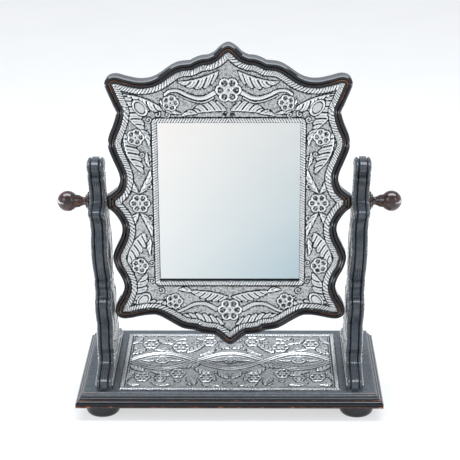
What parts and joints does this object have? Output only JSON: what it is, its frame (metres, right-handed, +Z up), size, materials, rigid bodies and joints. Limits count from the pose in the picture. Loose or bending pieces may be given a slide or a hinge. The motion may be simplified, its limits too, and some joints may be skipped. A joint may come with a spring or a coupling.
{
  "type": "tabletop swing mirror",
  "caption": "Dressing-table mirror with a serpentine frame of embossed silver sheet, hung between scrolled uprights on a stepped base and clamped by turned side knobs.",
  "frame": {"origin": "middle of the base, on the surface that its feet stand on", "axes": "+Z up, +X to the right seen from the front, +Y to the back, so the mirror faces -Y"},
  "size_m": [0.4256, 0.206, 0.4509],
  "materials": {
    "black_lacquer": "black gloss lacquer on wood, rubbed through to red-brown along its arrises",
    "knob_wood": "turned wood, dark red-brown, glossy",
    "embossed_silver": "embossed silver-coloured sheet with a dark patina in its hollows",
    "mirror_glass": "clear silvered glass",
    "packing_card": "grey-brown card",
    "back_panel_wood": "stained plywood",
    "hardware_steel": "zinc-plated",
    "hardware_brass": "satin",
    "washer_leather": "plain brown"
  },
  "bodies": {
    "stand": {"base_top_board": "black_lacquer", "base_moulding_front": "black_lacquer", "base_moulding_back": "black_lacquer", "base_moulding_left": "black_lacquer", "base_moulding_right": "black_lacquer", "base_silver_plate": "embossed_silver", "foot_front_left": "black_lacquer", "foot_front_right": "black_lacquer", "foot_back_left": "black_lacquer", "foot_back_right": "black_lacquer", "foot_screw_front_left": "hardware_steel", "foot_screw_front_right": "hardware_steel", "foot_screw_back_left": "hardware_steel", "foot_screw_back_right": "hardware_steel", "upright_left": "black_lacquer", "upright_left_inner_silver": "embossed_silver", "upright_left_outer_silver": "embossed_silver", "upright_right": "black_lacquer", "upright_right_inner_silver": "embossed_silver", "upright_right_outer_silver": "embossed_silver", "upright_screw_front_left": "hardware_steel", "upright_screw_front_right": "hardware_steel", "upright_screw_back_left": "hardware_steel", "upright_screw_back_right": "hardware_steel"},
    "mirror": {"mirror_frame": "black_lacquer", "frame_silver": "embossed_silver", "mirror_glass": "mirror_glass", "packing_card": "packing_card", "back_panel": "back_panel_wood", "panel_screw_top": "hardware_brass", "panel_screw_bottom": "hardware_brass", "panel_screw_upper_left": "hardware_brass", "panel_screw_upper_right": "hardware_brass", "panel_screw_lower_left": "hardware_brass", "panel_screw_lower_right": "hardware_brass", "threaded_insert_left": "hardware_brass", "threaded_insert_right": "hardware_brass", "friction_washer_left": "washer_leather", "friction_washer_right": "washer_leather"},
    "left_knob": {"knob_left": "knob_wood", "stud_left": "hardware_steel"},
    "right_knob": {"knob_right": "knob_wood", "stud_right": "hardware_steel"}
  },
  "joints": [
    {"name": "mirror_tilt", "type": "hinge", "parent": "stand", "child": "mirror", "pos_m": [0, -0.004, 0.2518], "axis": [1, 0, 0], "range_deg": [-150, 150]},
    {"name": "left_knob_turn", "type": "hinge", "parent": "mirror", "child": "left_knob", "pos_m": [-0.19, -0.004, 0.2518], "axis": [-1, 0, 0], "range_deg": [0, 720]},
    {"name": "right_knob_turn", "type": "hinge", "parent": "mirror", "child": "right_knob", "pos_m": [0.19, -0.004, 0.2518], "axis": [1, 0, 0], "range_deg": [0, 720]}
  ]
}
